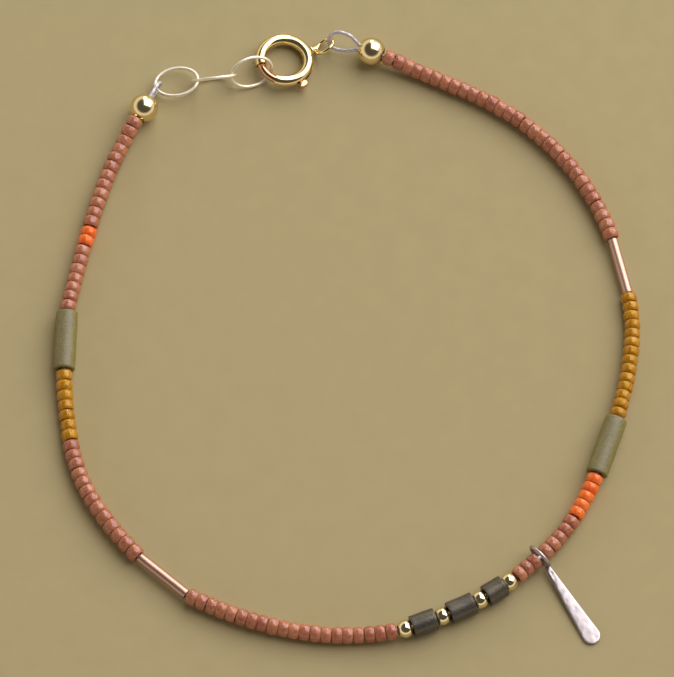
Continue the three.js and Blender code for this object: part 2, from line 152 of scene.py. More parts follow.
# How the clasp's pieces lie: x, y, z, yaw, pitch, roll.
POSES = {
    "loop_left": (-19.4, 24.44, COVER_HEIGHT, 63, 0, -90),
    "loop_right": (3.38, 30.69, COVER_HEIGHT, 161.8, -6.06, -58.25),
    "chain_link_1": (-16.2, 27.56, 0.95, 9, -4, -3),
    "chain_link_2": (-12.37, 27.69, 1.58, 5, -6, -64),
    "chain_link_3": (-8.6, 28.44, 1.43, 19.7, 9.4, 51.9),
    "spring_ring": (-5.32, 30.0, 0.9, 0, 5, -4.5),
}
COVER_HEADINGS = {"left": 62.5, "right": 163}

# The studio, in metres but for the camera's place. Lights face the middle of the floor.
CAMERA = dict(at_mm=(0, -155.76, 385.52), lens=223.93, sensor=36, near=0.01, far=50)
LIGHTS = {
    "window": dict(away=(0.5, 0.44, 0.744), distance=0.9, size=(1.0, 1.0), watts=10.4, roll=45),
    "far_window": dict(away=(0.06, 1.0, 0.42), distance=1.0, size=(0.22, 0.5), watts=1.3,
                       roll=0),
}
LIGHT_TINT = (1.0, 0.98, 0.97)
ROOM = dict(up=(0.05, -0.1, 0.99),                     # walls end and the ceiling starts at
            walls=(0.36, (0.86, 0.8, 0.7, 1)),         # these shares of the way up
            ceiling=(0.56, (0.085, 0.076, 0.068, 1)))
FLOOR_HALF = 1.5


# ---- finishes -----------------------------------------------------------------------------

class Number:
    """A number that varies over a surface. Python's operators add the Math nodes."""

    def __init__(self, finish, socket):
        self.finish = finish
        self.socket = socket

    def _math(self, operation, first, second=0.0):
        made = self.finish.node("ShaderNodeMath", {"operation": operation}, {0: first, 1: second})
        return Number(self.finish, made.outputs[0])

    def __add__(self, other):
        return self._math("ADD", self, other)

    __radd__ = __add__

    def __mul__(self, other):
        return self._math("MULTIPLY", self, other)

    __rmul__ = __mul__

    def __sub__(self, other):
        return self._math("SUBTRACT", self, other)

    def __rsub__(self, other):
        return self._math("SUBTRACT", other, self)

    def sine(self):
        return self._math("SINE", self)


class Nodes:
    """The nodes of one material, or of the room's light."""

    def __init__(self, tree):
        self.tree = tree

    def plug(self, socket, value):
        """Links a socket to what feeds it, or sets its constant."""
        if isinstance(value, Number):
            value = value.socket
        if isinstance(value, bpy.types.NodeSocket):
            self.tree.links.new(value, socket)
        else:
            socket.default_value = value

    def node(self, kind, settings=None, inputs=None):
        """Adds a node: its settings first, then the values or links of its sockets."""
        made = self.tree.nodes.new(kind)
        for key, value in (settings or {}).items():
            if key == "stops":
                for stop, (at, shade) in zip(made.color_ramp.elements, value):
                    stop.position = at
                    stop.color = shade
            else:
                setattr(made, key, value)
        for key, value in (inputs or {}).items():
            self.plug(made.inputs[key], value)
        return made


class Finish(Nodes):
    """One material: a Principled shader, with what varies over the surface plugged in."""

    def __init__(self, name, **constants):
        self.material = bpy.data.materials.new(name)
        self.material.use_nodes = True
        super().__init__(self.material.node_tree)
        self.shader = self.tree.nodes["Principled BSDF"]
        self.vary(**constants)

    def vary(self, **sockets):
        """Feeds the shader's own sockets, by their names."""
        for socket, value in sockets.items():
            self.plug(self.shader.inputs[socket.replace("_", " ")], value)

    def place(self, stretch=(1, 1, 1)):
        """The piece's own coordinates in millimetres, stretched."""
        where = self.node("ShaderNodeTexCoord").outputs["Object"]
        scale = [number / MM for number in stretch]
        made = self.node("ShaderNodeVectorMath", {"operation": "MULTIPLY"}, {0: where, 1: scale})
        return made.outputs[0]

    def kept(self, name):
        """A number kept at each vertex of the mesh."""
        made = self.node("ShaderNodeAttribute", {"attribute_name": name})
        return Number(self, made.outputs["Fac"])

    def noise(self, per_mm, detail=3.0, roughness=0.5, where=None):
        """A cloudy number from 0 to 1, with so many clouds to a millimetre."""
        made = self.node("ShaderNodeTexNoise", None, {
            "Vector": where or self.place(), "Scale": per_mm, "Detail": detail,
            "Roughness": roughness})
        return Number(self, made.outputs["Fac"])

    def cells(self, per_mm):
        """How far a place is from the middle of the nearest of many scattered cells."""
        made = self.node("ShaderNodeTexVoronoi", {"feature": "SMOOTH_F1"},
                         {"Vector": self.place(), "Scale": per_mm})
        return Number(self, made.outputs["Distance"])

    def ramp(self, number, low, high, bottom=0.0, top=1.0):
        """Runs from bottom to top as the number runs from low to high, and no further."""
        stops = [(low, (bottom, bottom, bottom, 1)), (high, (top, top, top, 1))]
        made = self.node("ShaderNodeValToRGB", {"stops": stops}, {"Fac": number})
        return Number(self, made.outputs["Color"])

    def blend(self, amount, one, other):
        """One colour, shading into the other as the amount goes from 0 to 1."""
        made = self.node("ShaderNodeMix", {"data_type": "RGBA"}, {
            "Factor": amount, "A": one, "B": other})
        return made.outputs["Result"]

    def bump(self, height, depth_mm):
        """Lets a number stand out of the surface as small relief."""
        made = self.node("ShaderNodeBump", None, {
            "Height": height, "Distance": depth_mm * MM, "Strength": 1.0})
        self.vary(Normal=made.outputs["Normal"])


def colour(code):
    """A linear colour from its usual six-figure code."""
    shades = [int(code[i:i + 2], 16) / 255 for i in (0, 2, 4)]
    return (*[s / 12.92 if s <= 0.04045 else ((s + 0.055) / 1.055) ** 2.4 for s in shades], 1)


def seed_finish(name, light, deep, shine, glow, glow_tint):
    """Opaque glass seed beads: no two quite alike, mottled inside, pearly on top."""
    made = Finish(name, IOR=1.62, Specular_Tint=shine, Subsurface_Weight=glow,
                  Subsurface_Radius=glow_tint, Subsurface_Scale=0.7 * MM, Coat_Roughness=0.1)
    cloud = made.noise(2.2, detail=4, roughness=0.6)
    body = made.blend(made.ramp(made.kept("tone") * 0.3 + cloud * 0.9, 0.3, 0.85), deep, light)
    smooth = made.ramp(made.noise(4), 0.35, 0.65, bottom=0.12, top=0.34)
    gloss = made.ramp(made.noise(2.5, detail=2), 0.4, 0.6, bottom=0.0, top=0.8)
    made.vary(Base_Color=body, Roughness=smooth, Coat_Weight=gloss)
    made.bump(made.noise(2.6, detail=2), 0.05)
    return made.material


def bugle_finish():
    """Frosted olive glass, etched: a sheen painted greyer along the top, and the sides painted a
    stronger olive.
    """
    made = Finish("frosted_olive_glass", IOR=1.75, Specular_Tint=colour("e6e6f4"),
                  Subsurface_Weight=0.5, Subsurface_Radius=(1.0, 0.8, 0.25),
                  Subsurface_Scale=0.4 * MM)
    frost = made.noise(5, detail=4, roughness=0.65)
    cloud = made.noise(1.6)
    # painted sheen: greyer where a point lies on top, a stronger olive towards the sides
    side = made.ramp(made.kept("around"), 0.45, 0.9)
    body = made.blend(side, colour("7a7148"), colour("786c08"))
    body = made.blend(made.ramp(cloud, 0.38, 0.62) * 0.6, body, colour("756a1c"))
    body = made.blend(made.ramp(frost, 0.45, 0.65) * 0.5, body, colour("9a9270"))
    made.vary(Base_Color=body, Roughness=0.36 + frost * 0.26)
    made.bump(frost, 0.045)
    return made.material


def dark_finish():
    """Matte dark tubes: a fine speckle, a faint cool sheen, and blue-grey clouds painted into the
    colour as sheen.
    """
    made = Finish("matte_dark_tube", Metallic=0.7, Sheen_Weight=0.1, Sheen_Roughness=0.4,
                  Sheen_Tint=colour("8088a8"))
    speckle = made.noise(10, detail=2, roughness=0.6)
    cloud = made.noise(2.5)
    body = made.blend(made.ramp(speckle, 0.35, 0.75), colour("4a442e"), colour("7a725d"))
    # painted sheen: blue-grey clouds mixed into the colour
    body = made.blend(made.ramp(cloud, 0.4, 0.7) * 0.5, body, colour("5f5b72"))
    made.vary(Base_Color=body, Roughness=0.3 + speckle * 0.2)
    made.bump(speckle, 0.01)
    return made.material


def polished(name, tone, worn, roughness=0.07, grain=0.05):
    """Polished plated metal: faint rubbing marks, warmer where the plating has dulled."""
    made = Finish(name, Metallic=1.0, IOR=1.5, Specular_Tint=(1, 0.97, 0.9, 1))
    cloud = made.noise(1.3, detail=4, roughness=0.55)
    rubbed = made.noise(22, detail=2, where=made.place((1, 0.35, 1)))
    body = made.blend(made.ramp(cloud, 0.4, 0.75) * 0.25, tone, worn)
    pale = made.kept("paler")
    body = made.blend(pale, body, colour("f7efe0"))
    smooth = made.ramp(rubbed, 0.45, 0.8, bottom=roughness, top=roughness + grain)
    made.vary(Base_Color=body, Roughness=smooth + pale * 0.4)
    made.bump(made.noise(1.5, detail=2), 0.003)
    return made.material


def drop_finish():
    """Hammered rose-silver: soft broad marks, a fine satin drawn along the drop."""
    made = Finish("hammered_rose_silver", Metallic=1.0)
    cloud = made.noise(1.6, detail=4, roughness=0.6)
    satin = made.noise(14, detail=2)
    body = made.blend(made.ramp(cloud, 0.3, 0.75), colour("c2b8b6"), colour("aaa0a7"))
    pale = made.kept("paler")
    body = made.blend(pale, body, colour("fff2e0"))
    made.vary(Base_Color=body, Roughness=0.3 + satin * 0.14 - pale * 0.2)
    made.bump(made.cells(1.7), 0.035)
    return made.material


def wire_finish():
    """Coated beading wire: the twist of its strands shows faintly through the coating."""
    made = Finish("coated_wire", Metallic=0.35, IOR=1.5, Coat_Weight=0.7, Coat_Roughness=0.15)
    twist = (made.kept("along") * 9 + made.kept("around") * 3).sine() * 0.5 + 0.5
    body = made.blend(made.noise(3), colour("b8b1bd"), colour("e0dae2"))
    body = made.blend(twist * 0.25, body, colour("6f6876"))
    made.vary(Base_Color=body, Roughness=0.34 + twist * 0.12)
    made.bump(twist, 0.02)
    return made.material


def floor_finish():
    """A plain pale surface, faintly uneven in colour."""
    made = Finish("pale_floor", Roughness=0.9, IOR=1.4)
    made.vary(Base_Color=made.blend(made.noise(0.4), colour("b1a178"), colour("a99a72")))
    return made.material


FINISHES = {
    "pink": seed_finish("dusty_pink_glass", colour("bc7c57"), colour("9b573a"),
                        shine=colour("f2dcf4"), glow=0.5, glow_tint=(1.0, 0.5, 0.35)),
    "orange": seed_finish("bright_orange_glass", colour("f97c38"), colour("e25a20"),
                          shine=colour("ffb870"), glow=0.6, glow_tint=(1.0, 0.4, 0.1)),
    "mustard": seed_finish("mustard_glass", colour("bc861c"), colour("a06a0c"),
                           shine=colour("ffdc70"), glow=0.6, glow_tint=(1.0, 0.6, 0.12)),
    "bugle": bugle_finish(),
    "dark": dark_finish(),
    "slim": polished("rose_gold_tube", colour("c79a88"), colour("ae806d"),
                     roughness=0.36, grain=0.06),
    "ball": polished("gold_ball", colour("f2e4b8"), colour("e0c688")),
    "gold": polished("pale_gold", colour("eed9a0"), colour("dab76c"), roughness=0.1),
    "bolt": polished("copper_gold", colour("dcaa86"), colour("c28a62"),
                     roughness=0.12, grain=0.08),
    "crimp": polished("crimp_metal", colour("c9b184"), colour("9d8455"),
                      roughness=0.2, grain=0.1),
    "drop": drop_finish(),
    "wire": wire_finish(),
}


# ---- shapes -------------------------------------------------------------------------------

def spin(points, axis, degrees):
    """Points turned about the X, Y or Z axis."""
    c, s = cos(radians(degrees)), sin(radians(degrees))
    one, other = [(1, 2), (2, 0), (0, 1)]["XYZ".index(axis)]
    made = np.array(points, float)
    made[:, one], made[:, other] = (c * made[:, one] - s * made[:, other],
                                    s * made[:, one] + c * made[:, other])
    return made


def posed(points, name):
    """Points turned and moved to where a piece of the clasp lies."""
    x, y, z, yaw, pitch, roll = POSES[name]
    return spin(spin(spin(points, "X", roll), "Y", pitch), "Z", yaw) + (x, y, z)


def signed_power(number, power):
    """A power that keeps the number's sign, for outlines between a circle and a square."""
    return abs(number) ** power * (1 if number > 0 else -1)


def strips(rings, around, closed=False):
    """Four-sided faces that join each ring of points to the next."""
    faces = []
    for j in range(rings if closed else rings - 1):
        k = (j + 1) % rings
        for i in range(around):
            m = (i + 1) % around
            faces.append((j * around + i, j * around + m, k * around + m, k * around + i))
    return faces


def first_cap(around):
    """One face over the first ring of points."""
    return tuple(reversed(range(around)))


def last_cap(rings, around):
    """One face over the last ring of points."""
    return tuple((rings - 1) * around + i for i in range(around))


def outward(points, faces):
    """The faces, turned over if the closed shape was inside out."""
    volume = 0.0
    for face in faces:
        a = points[face[0]]
        for i in range(1, len(face) - 1):
            volume += np.dot(a, np.cross(points[face[i]], points[face[i + 1]]))
    return faces if volume > 0 else [tuple(reversed(face)) for face in faces]


def lathe(profile, sides, seam=0.0):
    """A closed [axial, radius] loop turned about X. A seam leaves that many degrees open."""
    n = len(profile)
    rings = sides + 1 if seam else sides
    first = radians(seam / 2)
    step = (2 * pi - 2 * first) / sides
    points = []
    for j in range(rings):
        angle = first + j * step
        points += [(x, r * cos(angle), r * sin(angle)) for x, r in profile]
    faces = strips(rings, n, closed=not seam)
    if seam:
        for ring in (0, sides):
            for i in range(n // 2 - 1):
                cap = (i, i + 1, n - 2 - i, n - 1 - i)
                faces.append(tuple(ring * n + c for c in (cap if ring else reversed(cap))))
    points = np.array(points)
    return points, outward(points, faces)


def tube_along(path, radius, sides, closed=False):
    """A round bar along a path. radius may be one number or one for each point."""
    path = np.array(path, float)
    count = len(path)
    size = np.broadcast_to(np.array(radius, float), (count,))
    if closed:
        tangents = np.roll(path, -1, 0) - np.roll(path, 1, 0)
    else:
        tangents = np.gradient(path, axis=0)
    tangents /= np.linalg.norm(tangents, axis=1)[:, None]
    side = np.cross(tangents[0], (0, 0, 1.0))
    if np.linalg.norm(side) < 0.1:
        side = np.cross(tangents[0], (0, 1.0, 0))
    points = []
    for centre, tangent, r in zip(path, tangents, size):
        side = side - tangent * np.dot(side, tangent)
        side /= np.linalg.norm(side)
        over = np.cross(tangent, side)
        for k in range(sides):
            angle = 2 * pi * k / sides
            points.append(centre + r * (cos(angle) * side + sin(angle) * over))
    faces = strips(count, sides, closed)
    if not closed:
        faces += [first_cap(sides), last_cap(count, sides)]
    points = np.array(points)
    return points, outward(points, faces)


def round_ends(path, radius):
    """The path and its radii with a blunt rounded end added at both ends."""
    path = np.array(path, float)
    steps, reach, flat = STEPS["rod_end"], radius * 0.5, 0.35
    back, on = path[0] - path[1], path[-1] - path[-2]
    back, on = back / np.linalg.norm(back), on / np.linalg.norm(on)
    before, after, sizes = [], [], []
    for i in range(steps, 0, -1):
        angle = (pi / 2) * (i - flat) / steps
        sizes.append(radius * cos(angle))
        before.append(path[0] + back * reach * sin(angle))
        after.append(path[-1] + on * reach * sin(angle))
    whole = np.vstack([before, path, after[::-1]])
    return whole, np.array(sizes + [radius] * len(path) + sizes[::-1])


class Shape:
    """Closed shapes gathered for one piece, with the numbers kept at each vertex."""

    def __init__(self):
        self.points, self.faces = [], []
        self.kept = {"tone": [], "paler": [], "along": [], "around": []}

    def add(self, points, faces, tone=0.5, paler=0.0, along=None, around=None):
        """Adds one closed shape. tone and paler are the same all over it."""
        start = len(self.points)
        self.points += [tuple(p) for p in points]
        self.faces += [tuple(start + i for i in face) for face in faces]
        for name, values in (("along", along), ("around", around)):
            self.kept[name] += [0.0] * len(points) if values is None else list(values)
        self.kept["tone"] += [tone] * len(points)
        self.kept["paler"] += [paler] * len(points)
        return self

    def mesh(self, name):
        """A Blender mesh in metres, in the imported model's frame."""
        made = bpy.data.meshes.new(name)
        laid = (np.array(self.points) + SHIFT) * MM
        made.from_pydata(laid.tolist(), [], self.faces)
        for kept, values in self.kept.items():
            made.attributes.new(kept, "FLOAT", "POINT").data.foreach_set("value", values)
        made.update()
        return made


def piece(name, shape, finish, *nodes, body="root", cut=None, joined=()):
    """Puts a shape in the scene as one piece that stands for the CAD nodes given."""
    made = bpy.data.objects.new(name, shape.mesh(name))
    bpy.context.collection.objects.link(made)
    for tool, operation in [(cut, "DIFFERENCE")] + [(extra, "UNION") for extra in joined]:
        if tool is not None:
            cut_or_join(made, tool, operation)
    made.data.shade_smooth()
    made.data.set_sharp_from_angle(angle=radians(CREASE))
    made.data.materials.clear()
    made.data.materials.append(FINISHES[finish])
    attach(made, body)
    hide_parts(*nodes)
    return made


def cut_or_join(target, shape, operation):
    """Takes a shape out of a piece, or joins it on, in the piece's own mesh."""
    tool = bpy.data.objects.new("tool", shape.mesh("tool"))
    bpy.context.collection.objects.link(tool)
    step = target.modifiers.new("step", "BOOLEAN")
    step.operation = operation
    step.solver = "EXACT"
    step.object = tool
    graph = bpy.context.evaluated_depsgraph_get()
    made = bpy.data.meshes.new_from_object(target.evaluated_get(graph))
    target.modifiers.clear()
    old, target.data = target.data, made
    bpy.data.meshes.remove(old)
    spare = tool.data
    bpy.data.objects.remove(tool)
    bpy.data.meshes.remove(spare)


# ---- the thread ---------------------------------------------------------------------------

class Thread:
    """The strand's line: arcs end to end, lifted where thick pieces hold it up."""

    def __init__(self):
        self.sections = []
        x, y, heading = STRAND_START["x"], STRAND_START["y"], radians(STRAND_START["heading"])
        start = 0.0
        for values in STRAND:
            section = dict(zip(STRAND_COLUMNS, values))
            heading += radians(section["kink"])
            section.update(start=start, end=start + section["length"], x=x, y=y,
                           heading=heading, turn=radians(section["bend"]))
            self.sections.append(section)
            x, y = self.along(section, section["length"])
            heading += section["turn"]
            start += section["length"]
        self.total = start

    @staticmethod
    def along(section, distance):
        """The x and y of a place in a section, a distance from its start."""
        half = section["turn"] * distance / section["length"] / 2
        chord = distance * (1 if abs(half) < 1e-9 else sin(half) / half)
        direction = section["heading"] + half
        return section["x"] + chord * cos(direction), section["y"] + chord * sin(direction)

    def section_at(self, distance):
        """The section that a distance along the thread falls in."""
        for section in self.sections:
            if distance < section["end"]:
                return section
        return self.sections[-1]

    def height(self, distance):
        """Seed beads rest on the surface, and the thread eases up to what lifts it."""
        height = SEED_HEIGHT
        for section in self.sections:
            if section["kind"] in LIFTED:
                away = max(0.0, distance - section["end"], section["start"] - distance)
                share = min(max((RAMP - away) / RAMP, 0.0), 1.0)
                share = share * share * (3 - 2 * share)
                rise = (LIFTED[section["kind"]] - SEED_HEIGHT) * share
                height = max(height, SEED_HEIGHT + rise)
        return height

    def at(self, distance):
        """The point on the thread's middle line, a distance from the first crimp."""
        section = self.section_at(distance)
        x, y = self.along(section, distance - section["start"])
        return np.array((x, y, self.height(distance)))

    def lay(self, points, distance, turn=0.0, tip=0.0):
        """Points made along X, laid on the thread with their middle at a distance."""
        section = self.section_at(distance)
        share = (distance - section["start"]) / section["length"]
        heading = section["heading"] + section["turn"] * share
        near = 0.2
        rise = self.height(distance + near) - self.height(distance - near)
        slope = np.degrees(atan2(rise, 2 * near))
        level = spin(points, "Y", -slope + tip)
        return spin(level, "Z", np.degrees(heading) + turn) + self.at(distance)


thread = Thread()

# From the tables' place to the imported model's, by the middle of the first crimp.
low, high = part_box("crimp_left")
SHIFT = (np.array(low) + np.array(high)) / 2 / MM - thread.at(0)
SHIFT[2] = 0.0


# ---- beads and tubes ----------------------------------------------------------------------

def bead_profile(length, radius, bore, square):
    """The rounded section of a seed bead."""
    middle, thick = (radius + bore) / 2, (radius - bore) / 2
    profile = []
    for i in range(STEPS["bead"]):
        angle = 2 * pi * (i + 0.5) / STEPS["bead"]
        profile.append((length / 2 * signed_power(cos(angle), 2 / square),
                        middle + thick * signed_power(sin(angle), 2 / square)))
    return profile


def tube_profile(length, radius, bore, lip):
    """A tube with rounded lips: its outside from left to right, then its bore back."""
    half, stretch = length / 2, length - 2 * lip
    profile = []
    for edge, sign in ((radius, 1), (bore, -1)):
        for end in (-sign, sign):
            arc = []
            for i in range(STEPS["lip"] + 1):
                angle = (pi / 2) * i / STEPS["lip"]
                arc.append((end * (half - lip + lip * cos(angle)),
                            edge - sign * lip + sign * lip * sin(angle)))
            if end == sign:
                profile += reversed(arc)
                continue
            profile += arc
            profile += [(end * (half - lip - stretch * i / STEPS["tube"]), edge)
                        for i in range(1, STEPS["tube"])]
    return profile


def ball_profile(radius, bore, lip):
    """A bored ball with softened lips at the bore."""
    reach = asin((bore + lip) / radius)
    outer = []
    for i in range(STEPS["ball"] + 1):
        angle = reach + (pi - 2 * reach) * i / STEPS["ball"]
        outer.append((-radius * cos(angle), radius * sin(angle)))
    end = radius * cos(reach) - lip * 0.9
    return outer + [(end * share, bore) for share in (1, 0.3, -0.3, -1)]


def add_strand():
    """Everything on the thread, in stringing order. Sections with one node are one run."""
    uneven = random.Random(41)
    runs = {}
    for section in thread.sections:
        runs.setdefault(section["node"], []).append(section)
    for node, rows in runs.items():
        if rows[0]["beads"]:
            add_seed_run(node, rows, uneven)
        elif rows[0]["kind"] in TUBES:
            add_tube(node, rows[0], uneven)
        elif rows[0]["kind"] == "ball":
            add_ball(node, rows[0])


def add_seed_run(node, rows, uneven):
    """Seed beads side by side, each turned, sized and set a little differently."""
    shape = Shape()
    for index, row in enumerate(rows):
        first = SEED["end_gap"] if index == 0 else 0.0
        last = SEED["end_gap"] if index == len(rows) - 1 else 0.0
        pitch = (row["length"] - first - last) / row["beads"]
        for i in range(row["beads"]):
            distance = row["start"] + first + (i + 0.5) * pitch
            radius = SEED["radius"] * uneven.uniform(*UNEVEN["radius"])
            length = pitch * uneven.uniform(*UNEVEN["length"])
            square = uneven.uniform(*UNEVEN["square"])
            points, faces = lathe(bead_profile(length, radius, SEED["bore"], square),
                                  SIDES["bead"])
            points[:, 1] *= uneven.uniform(*UNEVEN["oval"])
            points = spin(points, "X", uneven.uniform(0, 360))
            turn, tip = uneven.gauss(0, UNEVEN["turn"]), uneven.gauss(0, UNEVEN["tip"])
            points = thread.lay(points, distance, turn, tip)
            points[:, :2] += (uneven.gauss(0, UNEVEN["aside"]), uneven.gauss(0, UNEVEN["aside"]))
            points[:, 2] += max(0.0, CLEAR - points[:, 2].min())
            shape.add(points, faces, tone=uneven.random())
    piece(f"{node}_glass", shape, rows[0]["kind"], node)


def add_tube(node, section, uneven):
    """A bugle, a dark tube or a slim one. The sides of the thick ones wave a little."""
    kind = section["kind"]
    size = TUBES[kind]
    gap = 0.0 if kind == "dark" else SEED["end_gap"]
    points, faces = lathe(tube_profile(section["length"] - 2 * gap, **size), SIDES["tube"])
    if kind != "slim":
        wave = np.sin(points[:, 0] * WOBBLE["per_mm"] + uneven.uniform(0, WOBBLE["phase"]))
        points[:, 1:] *= (1 - WOBBLE["depth"] + WOBBLE["depth"] * wave)[:, None]
    # how far to the side each point lies; the bugle's finish paints its sheen with it
    aside = np.abs(points[:, 1]) / size["radius"]
    laid = thread.lay(points, section["start"] + section["length"] / 2)
    shape = Shape().add(laid, faces, around=aside, paler=PALER.get(node, 0.0))
    piece(f"{node}_glass" if kind == "bugle" else f"{node}_metal", shape, kind, node)


def add_ball(node, section):
    """A gold ball, nestled against the dark tube beside it."""
    points, faces = lathe(ball_profile(**BALL), SIDES["ball"])
    middle = section["start"] + section["length"] / 2 + BALL_SHIFT.get(node, 0.0)
    piece(f"{node}_metal", Shape().add(thread.lay(points, middle), faces), "ball", node)


# ---- wire, crimps and covers --------------------------------------------------------------

def smooth_path(rows):
    """A Catmull-Rom curve through the points."""
    rows, steps = np.array(rows, float), STEPS["loop"]
    ends = np.vstack([2 * rows[0] - rows[1], rows, 2 * rows[-1] - rows[-2]])
    made = []
    for a, b, c, d in zip(ends, ends[1:], ends[2:], ends[3:]):
        for i in range(steps):
            t = i / steps
            made.append(0.5 * (2 * b + (c - a) * t + (2 * a - 5 * b + 4 * c - d) * t * t
                               + (3 * b - a - 3 * c + d) * t ** 3))
    made.append(rows[-1])
    return np.array(made)


def add_wire_length(shape, path):
    """One length of wire, with the way along it and round it kept for its finish."""
    sides = SIDES["wire"]
    points, faces = tube_along(path, WIRE, sides)
    run = np.concatenate([[0], np.cumsum(np.linalg.norm(np.diff(path, axis=0), axis=1))])
    shape.add(points, faces, along=np.repeat(run, sides),
              around=np.tile(2 * pi * np.arange(sides) / sides, len(path)))


def add_wire():
    """The stringing wire through everything, and the loop at each end."""
    shape = Shape()
    distances = np.linspace(0, thread.total, STEPS["thread"])
    add_wire_length(shape, np.array([thread.at(distance) for distance in distances]))
    for name, rows in (("loop_left", LOOP_LEFT), ("loop_right", LOOP_RIGHT)):
        flat = smooth_path([(along, across, 0.0) for along, across in rows])
        add_wire_length(shape, posed(flat, name))
    piece("wire_and_loops", shape, "wire", "stringing_wire")


def cover_arc(radius):
    """Half a circle about X, stopping at the two holes."""
    reach = asin(COVER["hole"] / radius)
    return [(-radius * cos(angle), radius * sin(angle))
            for angle in np.linspace(reach, pi - reach, STEPS["cover"] + 1)]


def add_end(side, distance):
    """A crimp tube and the round cover folded over it, its seam underneath."""
    centre, heading = thread.at(distance), COVER_HEADINGS[side]
    wall = cover_arc(COVER["radius"]) + cover_arc(COVER["radius"] - COVER["wall"])[::-1]
    points, faces = lathe(wall, SIDES["cover"], COVER["seam"])
    points = spin(spin(points, "X", -90), "Z", heading) + centre
    piece(f"crimp_cover_{side}_shell", Shape().add(points, faces, paler=PALER["cover"]), "gold",
          f"crimp_cover_{side}")
    points, faces = lathe(tube_profile(**CRIMP), SIDES["crimp"])
    piece(f"crimp_{side}_tube", Shape().add(spin(points, "Z", heading) + centre, faces),
          "crimp", f"crimp_{side}")


# ---- clasp --------------------------------------------------------------------------------

def ellipse(long, wide, count):
    """Points round an ellipse of two half lengths."""
    return [(long * cos(2 * pi * i / count), wide * sin(2 * pi * i / count), 0.0)
            for i in range(count)]


def ring_arc(radius, start, end, count):
    """Points on part of a circle, from one angle to another."""
    return [(radius * cos(radians(a)), radius * sin(radians(a)), 0.0)
            for a in np.linspace(start, end, count)]


def hollow_ring():
    """The ring's hollow tube: an open arc, its wall closed at both ends."""
    sides, steps = SIDES["ring"], STEPS["ring"]
    angles = [radians(a) for a in np.linspace(RING["start"], RING["end"], steps)]
    sections = [(size, 2 * pi * k / sides) for size in (RING["tube"], RING["bore"])
                for k in range(sides)]
    points = []
    for angle in angles:
        for size, around in sections:
            reach = RING["radius"] + size * cos(around)
            points.append((reach * cos(angle), reach * sin(angle), size * sin(around)))
    width, faces = 2 * sides, []
    for j in range(steps - 1):
        a, b = j * width, (j + 1) * width
        for k in range(sides):
            m = (k + 1) % sides
            faces.append((a + k, a + m, b + m, b + k))
            faces.append((a + sides + m, a + sides + k, b + sides + k, b + sides + m))
    last = (steps - 1) * width
    for k in range(sides):
        m = (k + 1) % sides
        faces.append((k, sides + k, sides + m, m))
        faces.append((last + m, last + sides + m, last + sides + k, last + k))
    points = np.array(points)
    return points, outward(points, faces)


def slot_block():
    """What the slot takes out of the ring's outer wall: a flat arc."""
    count, start, end = STEPS["slot"], RING["slot_start"], RING["slot_end"]
    outline = np.array(ring_arc(RING["radius"], start, end, count)
                       + ring_arc(RING["slot_reach"], end, start, count))
    n, half = len(outline), (0, 0, RING["slot_half"])
    points = np.vstack([outline - half, outline + half])
    faces = [(i, (i + 1) % n, n + (i + 1) % n, n + i) for i in range(n)]
    for i in range(count - 1):
        faces.append((i, n - 1 - i, n - 2 - i, i + 1))
        faces.append((n + i, n + i + 1, n + n - 2 - i, n + n - 1 - i))
    return points, outward(points, faces)


def on_ring(points, faces):
    """A shape made about the ring's centre, laid where the spring ring lies."""
    return Shape().add(posed(points, "spring_ring"), faces)


def add_links():
    """Three oval links of wire, hooked into each other."""
    for number in (1, 2, 3):
        node = f"chain_link_{number}"
        points, faces = tube_along(ellipse(LINK["long"], LINK["wide"], STEPS["link"]),
                                   LINK["wire"], SIDES["link"], closed=True)
        shape = Shape().add(posed(points, node), faces, paler=PALER["link"])
        piece(f"{node}_wire", shape, "gold", node)


def ring_neck():
    """The collar and neck between the ring and its eye."""
    shoulder = RING["radius"] + (RING["tube"] + RING["bore"]) / 2
    collar, end, neck = RING["collar"], RING["collar_reach"], RING["neck"]
    rows = [   # reach from the ring's centre, radius there
        (shoulder, collar * 0.93), (shoulder + 0.03, collar * 0.99), (shoulder + 0.1, collar),
        (end - 0.08, collar * 0.97), (end - 0.02, collar * 0.85), (end + 0.06, neck),
        (RING["neck_reach"] + 0.03, neck)]
    path = [(reach, 0.0, 0.0) for reach, _ in rows]
    points, faces = tube_along(path, [radius for _, radius in rows], SIDES["neck"])
    return spin(points, "Z", RING["neck_angle"]), faces


def ring_eye():
    """The small eye at the end of the neck, tilted as it hangs."""
    points, faces = tube_along(ellipse(RING["eye"], RING["eye"], STEPS["eye"]),
                               RING["eye_wire"], SIDES["eye"], closed=True)
    points = spin(points + (RING["eye"], 0, 0), "X", RING["eye_roll"])
    points = spin(points, "Y", -RING["eye_tilt"])
    points = spin(points, "Z", RING["eye_turn"] - RING["neck_angle"])
    return spin(points + (RING["neck_reach"], 0, 0), "Z", RING["neck_angle"]), faces


def add_spring_ring():
    """The hollow ring with its slot, its neck and its eye, and the bolt inside it."""
    piece("spring_ring_body", on_ring(*hollow_ring()), "gold", "spring_ring",
          cut=on_ring(*slot_block()), joined=[on_ring(*ring_neck()), on_ring(*ring_eye())])

    arc = ring_arc(RING["radius"], BOLT["start"] + BOLT["rounding"],
                   BOLT["end"] - BOLT["rounding"], STEPS["rod"])
    rod = tube_along(*round_ends(arc, BOLT["radius"]), SIDES["rod"])
    reaches = (RING["radius"], *BOLT["stem_reach"])
    stem, stem_faces = tube_along([(reach, 0.0, 0.0) for reach in reaches], BOLT["stem"],
                                  SIDES["stem"])
    tab, tab_faces = thumb_tab()
    stem, tab = (spin(part, "Z", BOLT["tab_angle"]) for part in (stem, tab))
    piece("bolt_and_tab", on_ring(*rod), "bolt", "spring_ring_bolt", body="bolt",
          joined=[on_ring(stem, stem_faces), on_ring(tab, tab_faces)])


